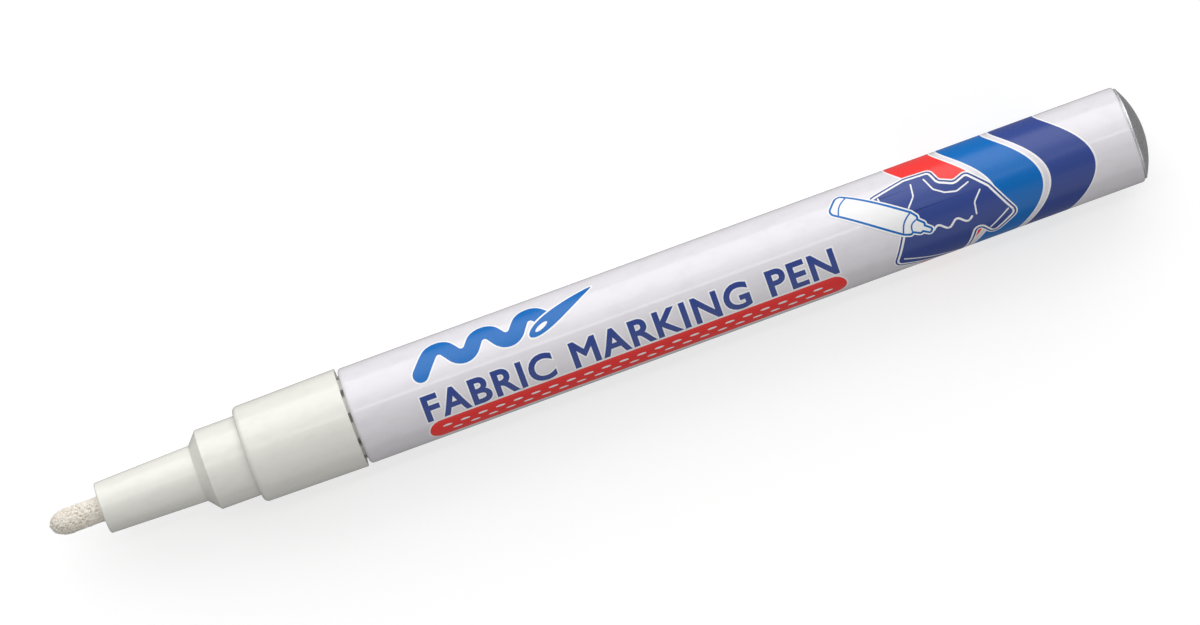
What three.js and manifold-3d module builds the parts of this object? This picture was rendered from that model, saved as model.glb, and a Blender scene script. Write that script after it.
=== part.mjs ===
// A slim valve-action fabric marking pen, lying on its side with the cap off.
//
// Millimetres. The pen lies along X with its nib towards -X, and Z is up. The origin is under the middle of
// the pen's length, on the surface that the pen lies on.
//
// How it works: the nib slides in the nib holder. Pressing it pushes the valve plunger back off the valve
// seat against a spring, and ink runs from the barrel past the plunger to the nib. Two loose steel balls
// stir the ink when the pen is shaken.

import * as THREE from "three";
import { mergeVertices } from "three/addons/utils/BufferGeometryUtils.js";
import Module from "manifold-3d";

// ---- Driving dimensions -------------------------------------------------------------------------------

const BARREL_DIAMETER = 11.0;
const BARREL_WALL = 0.4;
const BARREL_LENGTH = 90.44; // the straight side, from the mouth to the start of the base
const NIB_DIAMETER = 2.96;
const NIB_SHOWING = 6.1; // how far the nib stands out of its holder
const NIB_TRAVEL = 1.4; // how far it can be pressed in
const FIT = 0.05; // radial and end clearance between pieces that sit in each other

// The outside of the nose, from the nib end to the barrel.
const CONE_FRONT_RADIUS = 2.92;
const CONE_REAR_RADIUS = 3.22;
const CONE_LENGTH = 11.2;
const CHAMFER_LENGTH = 1.2;
const STEP_RADIUS = 4.6;
const STEP_LENGTH = 4.6;
const COLLAR_FRONT_RADIUS = 5.52;
const COLLAR_REAR_RADIUS = 5.67;
const COLLAR_LENGTH = 12.0;
const COLLAR_CORNER = 0.6;
const COLLAR_TO_BARREL = 0.35; // the open line between the collar and the barrel

// How finely round shapes are drawn.
const LARGE_ROUND = 40;
const SMALL_ROUND = 28;
const ARC_STEPS = 3;

// ---- Stations along the pen, measured from the nib's tip ----------------------------------------------

const coneStart = NIB_SHOWING;
const chamferStart = coneStart + CONE_LENGTH;
const stepStart = chamferStart + CHAMFER_LENGTH;
const collarStart = stepStart + STEP_LENGTH;
const collarEnd = collarStart + COLLAR_LENGTH;
const barrelStart = collarEnd + COLLAR_TO_BARREL;
const barrelSideEnd = barrelStart + BARREL_LENGTH;

const barrelRadius = BARREL_DIAMETER / 2;
const boreRadius = barrelRadius - BARREL_WALL;
const nibRadius = NIB_DIAMETER / 2;

// The barrel's base: a small rounded corner, then a shallow dome.
const BASE_CORNER_LENGTH = 0.34;
const DOME_EDGE_RADIUS = 5.08;
const DOME_RISE = 1.37;
const DOME_WALL = 0.5;
const domeStart = barrelSideEnd + BASE_CORNER_LENGTH;
const domeEnd = domeStart + DOME_RISE;

// The barrel's mouth is rolled in over the collar's neck.
const LIP_RADIUS = 0.6;
const LIP_THICKNESS = 0.4;
const neckRadius = barrelRadius - LIP_RADIUS - 2 * FIT;
const mouthRadius = neckRadius + FIT;

// The collar's plug, which holds the valve inside the barrel.
const PLUG_END = 40.0;
const PLUG_RADIUS = 4.93;
const PLUG_BORE_RADIUS = 3.95;
const PLUG_REAR_OPENING = 3.3;
const PLUG_REAR_WALL = 0.95;
const SEALING_BEADS = 2;
const SEALING_BEAD_PITCH = 1.0;
const SEALING_BEAD_LENGTH = 0.5;
const RECESS_DEPTH = 0.85; // the shallow recess that centres the nib holder

// The ten relief slots round the collar's neck, seen through the open line.
const NECK_SLOTS = 10;
const NECK_SLOT_WIDTH = 1.1;
const NECK_SLOT_DEPTH = 0.55;

// The nib holder's bores, and the spigot that enters the collar.
const GUIDE_LENGTH = 5.0;
const WICK_CHAMBER_RADIUS = 2.35;
const WICK_CHAMBER_END = 20.6;
const NIB_END_CHAMBER_RADIUS = 2.5;
const SEAT_BORE_RADIUS = 2.9;
const SEAT_BORE_START = 24.2;
const SPIGOT_END = 29.5;

// The valve.
const SEAT_LENGTH = 3.05;
const SEAT_LEAD_IN = 0.4; // the countersink that stops the nib at the end of its travel
const SEAT_HOLE_RADIUS = 1.35;
const STEM_RADIUS = 1.0;
const DISC_RADIUS = 2.3;
const DISC_LENGTH = 1.05;
const SPRING_PIN_RADIUS = 1.1;
const SPRING_PIN_LENGTH = 4.2;
const SEAL_SECTION_RADIUS = 0.43;
const SEAL_RING_RADIUS = 1.5;
const SPRING_WIRE_RADIUS = 0.175;
const SPRING_RADIUS = 1.6;
const SPRING_TURNS = 8;
const CAGE_REAR_WALL = 1.1;
const CAGE_HOLES = 4;
const CAGE_HOLE_RADIUS = 0.5;
const CAGE_HOLE_CIRCLE = 2.35;
const CAGE_VENT_RADIUS = 0.8;

// The loose balls, side by side on the bottom of the bore.
const BALL_RADIUS = 2.4;
const BALL_STATIONS = [116.5, 122.0];

// The valve seat sits against a ledge in the nib holder, and the nib ends one travel short of the seat.
const seatStart = SEAT_BORE_START + FIT;
const seatEnd = seatStart + SEAT_LENGTH;
const nibEnd = seatStart + SEAT_LEAD_IN - FIT - NIB_TRAVEL;

// The seal closes on the seat, and the plunger's disc bears on the seal.
const sealStation = seatEnd + FIT + SEAL_SECTION_RADIUS;
const discStart = sealStation + SEAL_SECTION_RADIUS + FIT;
const discEnd = discStart + DISC_LENGTH;

// The cage reaches from the holder's spigot to the wall at the end of the collar's plug.
const cageStart = SPIGOT_END + 2 * FIT;
const cageEnd = PLUG_END - PLUG_REAR_WALL - FIT;
const cageFloor = cageEnd - CAGE_REAR_WALL;

// ---- Shaping helpers ----------------------------------------------------------------------------------

const wasm = await Module();
wasm.setup();

// The points of an arc in an outline, between two angles in degrees: 0 points outwards, 90 rearwards.
function arc(radius, station, size, from, to, steps = ARC_STEPS) {
  const points = [];
  for (let i = 0; i <= steps; i++) {
    const angle = THREE.MathUtils.degToRad(from + ((to - from) * i) / steps);
    points.push([radius + size * Math.cos(angle), station + size * Math.sin(angle)]);
  }
  return points;
}

// Turns a closed outline of [radius, station] corners round the pen's axis. It runs rearwards on its outer
// side, so that its faces point out.
function turned(corners, segments = LARGE_ROUND) {
  const points = corners.map(([radius, station]) => new THREE.Vector2(radius < 1e-9 ? 0 : radius, station));
  return new THREE.LatheGeometry(points, segments).rotateZ(-Math.PI / 2);
}

function toSolid(geometry) {
  const bare = geometry.clone();
  bare.deleteAttribute("normal");
  bare.deleteAttribute("uv");
  const merged = mergeVertices(bare, 1e-4);
  return new wasm.Manifold(
    new wasm.Mesh({
      numProp: 3,
      vertProperties: merged.attributes.position.array,
      triVerts: new Uint32Array(merged.index.array),
    }),
  );
}

function toGeometry(solid) {
  const mesh = solid.getMesh();
  return new THREE.BufferGeometry()
    .setAttribute("position", new THREE.BufferAttribute(mesh.vertProperties, 3))
    .setIndex(new THREE.BufferAttribute(mesh.triVerts, 1));
}

// Cuts copies of a tool out of a piece. Each tool is turned to its place round the axis first.
function cutRound(geometry, count, makeTool) {
  let solid = toSolid(geometry);
  for (let i = 0; i < count; i++) {
    const tool = makeTool().rotateX((2 * Math.PI * i) / count);
    solid = solid.subtract(toSolid(tool));
  }
  return toGeometry(solid);
}

// ---- Materials ----------------------------------------------------------------------------------------

function finish(color, roughness, metalness = 0) {
  return new THREE.MeshStandardMaterial({ color, roughness, metalness });
}

const lacqueredAluminium = finish("#ebe9ee", 0.3);
const nosePlastic = finish("#e6e7e0", 0.42);
const nibFibre = finish("#efe6d6", 0.95);
const wickFibre = finish("#f2efe6", 0.98);
const valvePlastic = finish("#f3f3f0", 0.4);
const plungerPlastic = finish("#dfe2e4", 0.35);
const sealRubber = finish("#2a2a2c", 0.7);
const springSteel = finish("#b9bcc0", 0.25, 1);
const ballSteel = finish("#c3c6ca", 0.12, 1);

// ---- Pieces -------------------------------------------------------------------------------------------

// One drawn aluminium can: rolled mouth, straight side, rounded corner and a bare domed base.
function barrel() {
  const lipInnerRadius = LIP_RADIUS - LIP_THICKNESS;
  const lipCentre = barrelRadius - LIP_RADIUS;
  const domeRadius = (DOME_EDGE_RADIUS ** 2 + DOME_RISE ** 2) / (2 * DOME_RISE);
  const domeCentre = domeEnd - domeRadius;
  const insideRadius = domeRadius - DOME_WALL;
  const edgeAngle = THREE.MathUtils.radToDeg(Math.acos(DOME_EDGE_RADIUS / domeRadius));
  const insideEdge = boreRadius - 0.5;
  const insideAngle = THREE.MathUtils.radToDeg(Math.acos(insideEdge / insideRadius));
  const insideCorner = domeCentre + insideRadius * Math.sin(Math.acos(insideEdge / insideRadius));
  return turned([
    [mouthRadius, barrelStart],
    ...arc(lipCentre, barrelStart + LIP_RADIUS, LIP_RADIUS, -90, 0),
    [barrelRadius, barrelSideEnd],
    [DOME_EDGE_RADIUS + 0.14, domeStart - 0.08],
    ...arc(0, domeCentre, domeRadius, edgeAngle, 90, 4),
    ...arc(0, domeCentre, insideRadius, 90, insideAngle, 4),
    [boreRadius, insideCorner - 0.4],
    [boreRadius, barrelStart + LIP_RADIUS],
    ...arc(lipCentre, barrelStart + LIP_RADIUS, lipInnerRadius, -30, -90, 2),
    [mouthRadius, barrelStart + LIP_THICKNESS],
    [mouthRadius, barrelStart],
  ]);
}

// The wide collar that a hand meets first, with the plug behind it that closes the barrel.
function shoulderCollar() {
  const cornerCentre = COLLAR_FRONT_RADIUS - COLLAR_CORNER;
  const plugStart = barrelStart + LIP_THICKNESS + FIT;
  const plugRadius = boreRadius - FIT;
  const edge = 0.12;
  const beads = [];
  for (let i = 0; i < SEALING_BEADS; i++) {
    const at = plugStart + 0.9 + i * SEALING_BEAD_PITCH;
    beads.push(
      [PLUG_RADIUS, at],
      [plugRadius, at + SEALING_BEAD_LENGTH / 3],
      [plugRadius, at + (2 * SEALING_BEAD_LENGTH) / 3],
      [PLUG_RADIUS, at + SEALING_BEAD_LENGTH],
    );
  }
  const body = turned([
    [STEP_RADIUS + FIT, collarStart],
    ...arc(cornerCentre, collarStart + COLLAR_CORNER, COLLAR_CORNER, -90, 0),
    [COLLAR_REAR_RADIUS, collarEnd - edge],
    [COLLAR_REAR_RADIUS - edge, collarEnd],
    [neckRadius, collarEnd],
    [neckRadius, plugStart],
    [PLUG_RADIUS, plugStart],
    ...beads,
    [PLUG_RADIUS, PLUG_END - 0.6],
    [PLUG_RADIUS - 0.5, PLUG_END],
    [PLUG_REAR_OPENING, PLUG_END],
    [PLUG_REAR_OPENING, PLUG_END - PLUG_REAR_WALL],
    [PLUG_BORE_RADIUS, PLUG_END - PLUG_REAR_WALL],
    [PLUG_BORE_RADIUS, collarStart + RECESS_DEPTH],
    [STEP_RADIUS + FIT, collarStart + RECESS_DEPTH],
    [STEP_RADIUS + FIT, collarStart],
  ]);
  const slotLength = plugStart - collarEnd + 0.5;
  const slotMiddle = collarEnd + 0.02 + slotLength / 2;
  return cutRound(body, NECK_SLOTS, () =>
    new THREE.BoxGeometry(slotLength, NECK_SLOT_WIDTH, 2 * NECK_SLOT_DEPTH)
      .translate(slotMiddle, 0, neckRadius),
  );
}

// The stepped nose that guides the nib, with a spigot that presses into the collar.
function nibHolder() {
  const guideRadius = nibRadius + FIT;
  const spigotRadius = PLUG_BORE_RADIUS - FIT;
  const stepEnd = collarStart + RECESS_DEPTH - FIT;
  const edge = 0.15;
  return turned([
    [guideRadius, coneStart],
    ...arc(CONE_FRONT_RADIUS - edge, coneStart + edge, edge, -90, 0, 2),
    [CONE_REAR_RADIUS, chamferStart],
    [STEP_RADIUS, stepStart],
    [STEP_RADIUS, stepEnd],
    [spigotRadius, stepEnd],
    [spigotRadius, SPIGOT_END],
    [SEAT_BORE_RADIUS, SPIGOT_END],
    [SEAT_BORE_RADIUS, SEAT_BORE_START],
    [NIB_END_CHAMBER_RADIUS, SEAT_BORE_START],
    [NIB_END_CHAMBER_RADIUS, WICK_CHAMBER_END],
    [WICK_CHAMBER_RADIUS, WICK_CHAMBER_END],
    [WICK_CHAMBER_RADIUS, coneStart + GUIDE_LENGTH],
    [guideRadius, coneStart + GUIDE_LENGTH],
    [guideRadius, coneStart],
  ]);
}

// A rod of bonded fibre with a bullet point.
function nib() {
  const bulletLength = 2.1;
  const rearEdge = 0.2;
  const quarter = arc(0, 0, 1, -90, 0, 6);
  const bullet = quarter.map(([across, along]) => [nibRadius * across, bulletLength * (1 + along)]);
  return turned(
    [...bullet, [nibRadius, nibEnd - rearEdge], [nibRadius - rearEdge, nibEnd], [0, nibEnd]],
    SMALL_ROUND,
  );
}

// A soft fibre sleeve round the nib that holds a little ink between presses.
function bufferWick() {
  const inner = nibRadius + FIT;
  const outer = WICK_CHAMBER_RADIUS - FIT;
  const start = coneStart + GUIDE_LENGTH + FIT;
  const end = WICK_CHAMBER_END - FIT;
  return turned(
    [
      [inner, start],
      [outer, start],
      [outer, end],
      [inner, end],
      [inner, start],
    ],
    SMALL_ROUND,
  );
}

// The ring that the plunger's seal closes against.
function valveSeat() {
  const outer = SEAT_BORE_RADIUS - FIT;
  return turned(
    [
      [SEAT_HOLE_RADIUS + SEAT_LEAD_IN, seatStart],
      [outer, seatStart],
      [outer, seatEnd],
      [SEAT_HOLE_RADIUS, seatEnd],
      [SEAT_HOLE_RADIUS, seatStart + SEAT_LEAD_IN],
      [SEAT_HOLE_RADIUS + SEAT_LEAD_IN, seatStart],
    ],
    SMALL_ROUND,
  );
}

// The stem that the nib pushes, the disc that carries the seal, and the pin that keeps the spring straight.
function valvePlunger() {
  const stemStart = nibEnd + FIT;
  const pinEnd = discEnd + SPRING_PIN_LENGTH;
  const edge = 0.25;
  return turned(
    [
      [0, stemStart],
      [STEM_RADIUS, stemStart],
      [STEM_RADIUS, discStart],
      [DISC_RADIUS, discStart],
      [DISC_RADIUS, discEnd],
      [SPRING_PIN_RADIUS, discEnd],
      [SPRING_PIN_RADIUS, pinEnd - edge],
      [SPRING_PIN_RADIUS - edge, pinEnd],
      [0, pinEnd],
    ],
    SMALL_ROUND,
  );
}

// The rubber ring on the plunger's stem.
function plungerSeal() {
  return turned(arc(SEAL_RING_RADIUS, sealStation, SEAL_SECTION_RADIUS, -180, 180, 10), SMALL_ROUND);
}

// A compression spring whose first and last turns lie close.
class CoilSpring extends THREE.Curve {
  constructor(radius, start, end, turns, closedPitch) {
    super();
    Object.assign(this, { radius, start, end, turns, closedPitch });
  }
  getPoint(t) {
    const turn = t * this.turns;
    const closed = Math.min(turn, 1) + Math.max(turn - (this.turns - 1), 0);
    const open = Math.min(Math.max(turn - 1, 0), this.turns - 2);
    const openPitch = (this.end - this.start - 2 * this.closedPitch) / (this.turns - 2);
    const station = this.start + closed * this.closedPitch + open * openPitch;
    const angle = 2 * Math.PI * turn;
    return new THREE.Vector3(station, this.radius * Math.cos(angle), this.radius * Math.sin(angle));
  }
}

function valveSpring() {
  const clear = SPRING_WIRE_RADIUS + FIT;
  const closedPitch = 2 * SPRING_WIRE_RADIUS + FIT;
  const path = new CoilSpring(SPRING_RADIUS, discEnd + clear, cageFloor - clear, SPRING_TURNS, closedPitch);
  const wire = new THREE.Shape().absarc(0, 0, SPRING_WIRE_RADIUS, 0, 2 * Math.PI, false);
  const wireSides = 4; // quarters of the section's circle, two straight sides in each
  const stepsPerTurn = 12;
  return new THREE.ExtrudeGeometry(wire, {
    curveSegments: wireSides,
    steps: SPRING_TURNS * stepsPerTurn,
    extrudePath: path,
  });
}

// The cup behind the plunger: the spring stands on its floor, and ink enters by the holes in it.
function valveCage() {
  const outer = PLUG_BORE_RADIUS - FIT;
  const inner = SEAT_BORE_RADIUS;
  const cup = turned([
    [inner, cageStart],
    [outer, cageStart],
    [outer, cageEnd],
    [CAGE_VENT_RADIUS, cageEnd],
    [CAGE_VENT_RADIUS, cageFloor],
    [inner, cageFloor],
    [inner, cageStart],
  ]);
  return cutRound(cup, CAGE_HOLES, () =>
    new THREE.CylinderGeometry(CAGE_HOLE_RADIUS, CAGE_HOLE_RADIUS, 3 * CAGE_REAR_WALL, 12)
      .rotateZ(Math.PI / 2)
      .translate(cageEnd - CAGE_REAR_WALL / 2, 0, CAGE_HOLE_CIRCLE),
  );
}

// A loose steel ball, lying on the bottom of the bore.
function mixingBall(station) {
  const drop = boreRadius - BALL_RADIUS - FIT;
  return new THREE.SphereGeometry(BALL_RADIUS, 18, 12).translate(station, 0, -drop);
}

// ---- Assembly -----------------------------------------------------------------------------------------

const pen = new THREE.Group();

function add(name, geometry, material) {
  const mesh = new THREE.Mesh(geometry, material);
  mesh.name = name;
  pen.add(mesh);
}

add("barrel", barrel(), lacqueredAluminium);
add("shoulder_collar", shoulderCollar(), nosePlastic);
add("nib_holder", nibHolder(), nosePlastic);
add("nib", nib(), nibFibre);
add("buffer_wick", bufferWick(), wickFibre);
add("valve_seat", valveSeat(), valvePlastic);
add("valve_plunger", valvePlunger(), plungerPlastic);
add("plunger_seal", plungerSeal(), sealRubber);
add("valve_spring", valveSpring(), springSteel);
add("valve_cage", valveCage(), valvePlastic);
BALL_STATIONS.forEach((station, i) => add(`mixing_ball_${i + 1}`, mixingBall(station), ballSteel));

// The collar's rear edge is the widest place, so the pen lies on it and the axis is that high.
pen.position.set(-domeEnd / 2, 0, COLLAR_REAR_RADIUS);

export default pen;
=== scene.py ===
"""A slim fabric marking pen, lying on a pale floor with its cap off.

The file is laid out as an add-on and is run as a script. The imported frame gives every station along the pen,
and the operators below make its pieces: the lacquered barrel and its printing, the moulded collar and nose,
the fibre nib, the valve's spring and finishes, and the stage. Lengths are in metres, in the frame of the
pen: +X runs from the nib to the base, +Z is up, and the printing faces up.
"""

import math

import bmesh
import bpy
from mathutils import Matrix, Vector, noise


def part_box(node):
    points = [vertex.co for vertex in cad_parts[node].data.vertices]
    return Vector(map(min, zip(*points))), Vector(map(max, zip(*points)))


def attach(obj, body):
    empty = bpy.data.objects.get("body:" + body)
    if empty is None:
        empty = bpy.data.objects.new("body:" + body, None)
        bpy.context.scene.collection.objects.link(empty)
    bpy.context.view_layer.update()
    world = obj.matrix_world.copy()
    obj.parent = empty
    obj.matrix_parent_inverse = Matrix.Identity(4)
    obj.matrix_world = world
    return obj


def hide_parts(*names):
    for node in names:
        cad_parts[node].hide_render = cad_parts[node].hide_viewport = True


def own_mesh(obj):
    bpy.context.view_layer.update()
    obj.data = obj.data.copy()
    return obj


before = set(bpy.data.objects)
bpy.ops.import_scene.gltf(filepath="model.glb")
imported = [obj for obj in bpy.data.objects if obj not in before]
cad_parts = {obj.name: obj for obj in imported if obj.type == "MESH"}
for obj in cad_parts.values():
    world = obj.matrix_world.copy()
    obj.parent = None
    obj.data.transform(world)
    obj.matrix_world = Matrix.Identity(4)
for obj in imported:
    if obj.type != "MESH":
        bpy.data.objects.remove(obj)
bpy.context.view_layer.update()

bl_info = {
    "name": "Fabric Marking Pen",
    "version": (1, 0, 0),
    "blender": (4, 5, 0),
    "location": "View3D > Sidebar > Marking Pen",
    "description": "Makes the pieces, finishes and stage of a slim fabric marking pen",
    "category": "Add Mesh",
}

MM = 0.001

# Places along the pen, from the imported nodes' own boxes.
NOSE_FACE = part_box("nib_holder")[0].x
SPIGOT_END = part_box("nib_holder")[1].x
COLLAR_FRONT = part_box("shoulder_collar")[0].x
PLUG_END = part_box("shoulder_collar")[1].x
BARREL_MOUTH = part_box("barrel")[0].x
BASE_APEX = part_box("barrel")[1].x
NIB_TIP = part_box("nib")[0].x
NIB_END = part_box("nib")[1].x
AXIS_HEIGHT = (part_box("barrel")[0].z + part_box("barrel")[1].z) / 2
BARREL_RADIUS = (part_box("barrel")[1].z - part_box("barrel")[0].z) / 2
COLLAR_RADIUS = (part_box("shoulder_collar")[1].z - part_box("shoulder_collar")[0].z) / 2
NIB_RADIUS = (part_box("nib")[1].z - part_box("nib")[0].z) / 2

# Each printed layer is a thin plate whose underside is buried in the lacquer.
LAYER = 0.005 * MM
BURIED = 0.02 * MM

# Radius of an edge that is only just broken, and the gap between two parts that slide or press together.
BROKEN_EDGE = 0.05 * MM
FIT_GAP = 0.05 * MM


# ---- Sizes and colours --------------------------------------------------------------------------------


def length(name, description, default_mm):
    return bpy.props.FloatProperty(
        name=name, description=description, default=default_mm * MM, unit="LENGTH", precision=5
    )


def number(name, description, default):
    return bpy.props.FloatProperty(name=name, description=description, default=default)


def degrees(name, description, default):
    return bpy.props.FloatProperty(
        name=name, description=description, default=math.radians(default), subtype="ANGLE", precision=4
    )


def count(name, description, default):
    return bpy.props.IntProperty(name=name, description=description, default=default, min=0)


def linear(hex_value):
    """Turns an sRGB hex value into a linear colour with full alpha."""
    channels = [int(hex_value[i : i + 2], 16) / 255 for i in (1, 3, 5)]
    return [c / 12.92 if c <= 0.04045 else ((c + 0.055) / 1.055) ** 2.4 for c in channels] + [1.0]


def colour(name, description, hex_value):
    return bpy.props.FloatVectorProperty(
        name=name,
        description=description,
        default=linear(hex_value),
        subtype="COLOR",
        size=4,
        min=0.0,
        max=1.0,
    )


class PenBodySizes(bpy.types.PropertyGroup):
    wall: length("Wall", "Thickness of the barrel's drawn wall", 0.4)
    mouth_rounding: length("Mouth rounding", "Radius of the barrel's rolled mouth", 0.42)
    lacquer_edge: length("Lacquer edge", "Rounding where the lacquered side ends", 0.32)
    rim_setback: length("Rim setback", "How far the bare rim stands behind the lacquered side", 0.34)
    dome_edge: length("Dome edge", "Radius at which the domed base starts", 5.08)
    dome_rise: length("Dome rise", "How far the domed base stands out", 1.37)
    collar_front_radius: length("Collar front radius", "Radius of the collar behind its rounded edge", 5.52)
    collar_rounding: length("Collar rounding", "Rounding of the collar's front edge", 0.62)
    collar_length: length("Collar length", "Length of the collar that shows", 12.07)
    neck_radius: length("Neck radius", "Radius of the collar's neck in the barrel's mouth", 4.8)
    slot_depth: length("Slot depth", "Depth of the relief slots in the neck", 0.7)
    slots: count("Slots", "Relief slots round the neck", 10)
    slot_angle: degrees("Slot angle", "Width of each relief slot", 13.0)


class PenNoseSizes(bpy.types.PropertyGroup):
    cone_front_radius: length("Cone front radius", "Outer radius at the end of the nose", 2.92)
    cone_rear_radius: length("Cone rear radius", "Outer radius where the cone meets the chamfer", 3.22)
    cone_length: length("Cone length", "Length of the slim cone", 11.2)
    chamfer_length: length("Chamfer length", "Length of the bevel up to the step", 1.2)
    step_radius: length("Step radius", "Radius of the step that a cap grips", 4.6)
    edge_rounding: length("Edge rounding", "Rounding of the moulded edges", 0.12)
    nib_clearance: length("Nib clearance", "Gap round the nib in its guide", 0.05)
    spigot_radius: length("Spigot radius", "Radius of the spigot inside the collar", 3.9)


class PenNibSizes(bpy.types.PropertyGroup):
    bullet_length: length("Bullet length", "Length of the rounded point", 2.1)
    furrow_depth: length("Furrow depth", "Depth of the furrows between bonded fibres", 0.06)
    pit_depth: length("Pit depth", "Depth of the small pits in the point", 0.5)
    fibres: count("Fibres", "Loose fibre ends on the surface", 700)
    fibre_length: length("Fibre length", "Length of a loose fibre end", 0.5)
    fibre_thickness: length("Fibre thickness", "Diameter of a loose fibre end", 0.035)
    fibre_gap: length("Fibre gap", "How far the loose fibre ends stop short of the nose", 1.8)
    seed: count("Seed", "Seed for the loose fibres", 7)


class PenValveSizes(bpy.types.PropertyGroup):
    wire_radius: length("Wire radius", "Radius of the spring's wire", 0.175)
    turns: count("Turns", "Turns of the spring, with one closed turn at each end", 8)
    closed_pitch: length("Closed pitch", "Distance between turns in a closed end", 0.4)


class PenPrintSizes(bpy.types.PropertyGroup):
    words: bpy.props.StringProperty(
        name="Words", description="Plain words printed along the barrel", default="FABRIC MARKING PEN"
    )
    words_start: length("Words start", "Distance of the words from the barrel's mouth", 7.6)
    words_length: length("Words length", "Length of the line of words", 47.8)
    letter_height: length("Letter height", "Height of a capital", 3.24)
    words_round: length("Words place", "Place of the words' lower edge, measured round the barrel", -3.73)
    letter_weight: length("Letter weight", "How much bolder the letters are, on each side", 0.12)
    halo: length("Halo", "White edge round a printed shape", 0.16)
    line_width: length("Line width", "Width of a thin drawn line", 0.17)
    outline: length("Outline", "White edge round the strip and the needle", 0.2)
    strip_width: length("Strip width", "Width of the printed strip", 2.97)
    strip_round: length("Strip place", "Place of the strip's middle, measured round the barrel", -5.43)
    stitch_length: length("Stitch length", "Length of a printed running stitch", 1.25)
    stitch_width: length("Stitch width", "Width of a printed running stitch", 0.34)
    stitch_pitch: length("Stitch pitch", "Distance from one stitch to the next", 2.05)
    stitches: count("Stitches", "Stitches in each row", 22)
    row_offset: length("Row offset", "Distance of each row of stitches from the strip's middle", 0.44)
    band_width: length("Band width", "Width of a wavy band along the barrel", 5.15)
    band_gap: length("Band gap", "Pale gap between two bands", 0.93)
    band_edge: length("Band edge", "White edge along each side of a band", 0.22)
    band_swing: length("Band swing", "Half the swing of a band along the barrel", 2.3)
    band_phase: degrees("Band phase", "Angle from the top at which the bands bulge most", -10.0)
    last_band_end: length("Last band end", "Distance from the last band's bulge to the base", 6.45)


class PenColours(bpy.types.PropertyGroup):
    lacquer: colour("Lacquer", "White lacquer of the barrel", "#E2DFE4")
    plastic: colour("Plastic", "Moulded white plastic of the nose", "#E8E7E0")
    felt: colour("Felt", "Unused nib fibre", "#FFF9ED")
    # Painted shade: a darker tan that the nib's finish paints into the gaps between its fibres, where shade
    # falls.
    felt_painted_shade: colour("Felt shade", "Depth between the nib's fibres", "#B98F68")
    aluminium: colour("Aluminium", "Bare drawn aluminium", "#EAEAEC")
    red: colour("Red ink", "Printed red", "#FF3A38")
    blue: colour("Blue ink", "Printed mid blue", "#0069B8")
    navy: colour("Navy ink", "Printed navy", "#34488E")
    white: colour("White ink", "Printed white", "#FDFDFE")
    floor: colour("Floor", "Pale floor", "#B8B8B8")


class PenStudio(bpy.types.PropertyGroup):
    softbox: bpy.props.FloatVectorProperty(
        name="Softbox",
        description="Brightness of the large softbox, from its top strip down",
        size=6,
        default=(2.2, 0.65, 0.95, 1.95, 2.2, 1.95),
    )
    fill: bpy.props.FloatVectorProperty(
        name="Fill",
        description="Brightness of the fill panel, from its top strip down",
        size=2,
        default=(0.52, 0.64),
    )
    surround: number("Surround", "Brightness of the room", 0.21)
    floor_glow: number("Floor glow", "Light that the floor sheet gives by itself near the pen", 0.62)
    backdrop_glow: number("Backdrop glow", "Light that the backdrop gives by itself", 0.86)
    glow_start: length("Glow start", "Distance from the pen at which the sheet starts to brighten", 250.0)
    glow_end: length("Glow end", "Distance from the pen at which it is at its brightest", 3000.0)
    floor_radius: length("Floor radius", "Radius of the flat floor", 3500.0)
    backdrop_bend: length("Backdrop bend", "Radius of the curve from the floor up to the wall", 1500.0)
    backdrop_height: length("Backdrop height", "Height of the backdrop's wall", 6000.0)
    panel_distance: length("Panel distance", "Distance of the panels from the pen", 2200.0)
    panel_length: length("Panel length", "Length of the panels along the pen", 5000.0)
    panel_shift: length("Panel shift", "How far the panels stand towards the base end", 550.0)
    camera_height: length("Camera height", "Height of the camera above the pen's axis", 757.0)
    camera_along: length("Camera along", "Offset of the camera along the pen", 0.95)
    camera_across: length("Camera across", "Offset of the camera across the pen", 1.47)
    camera_turn: degrees("Camera turn", "Angle of the pen in the frame", 20.04)
    lens: bpy.props.FloatProperty(
        name="Lens", description="Focal length on a 36 mm wide sensor", default=207.0, unit="CAMERA"
    )


# Edges of the softbox's and fill panel's strips, in degrees from straight up, positive towards +Y.
SOFTBOX_EDGES = (8, 14, 26, 38, 54, 72, 88)
FILL_EDGES = (-32, -50, -86)

SETTINGS = {
    "pen_body": PenBodySizes,
    "pen_nose": PenNoseSizes,
    "pen_nib": PenNibSizes,
    "pen_valve": PenValveSizes,
    "pen_print": PenPrintSizes,
    "pen_colours": PenColours,
    "pen_studio": PenStudio,
}


# ---- Nodes and finishes -------------------------------------------------------------------------------


def node(tree, kind, links=None, values=None, **settings):
    """Adds one node. Settings are its own options, values its constants, and links what feeds its sockets."""
    made = tree.nodes.new(kind)
    for key, value in settings.items():
        setattr(made, key, value)
    for key, value in (values or {}).items():
        made.inputs[key].default_value = value
    for key, source in (links or {}).items():
        tree.links.new(source, made.inputs[key])
    return made


def material(name, **constants):
    """A material whose Principled shader has these constants. Returns it with its tree and shader."""
    made = bpy.data.materials.new(name)
    made.use_nodes = True
    shader = made.node_tree.nodes["Principled BSDF"]
    for key, value in constants.items():
        shader.inputs[key.replace("_", " ")].default_value = value
    return made, made.node_tree, shader


def shade(rgba, factor):
    """The same linear colour, darker or lighter."""
    return [min(1.0, c * factor) for c in rgba[:3]] + [1.0]


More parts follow.
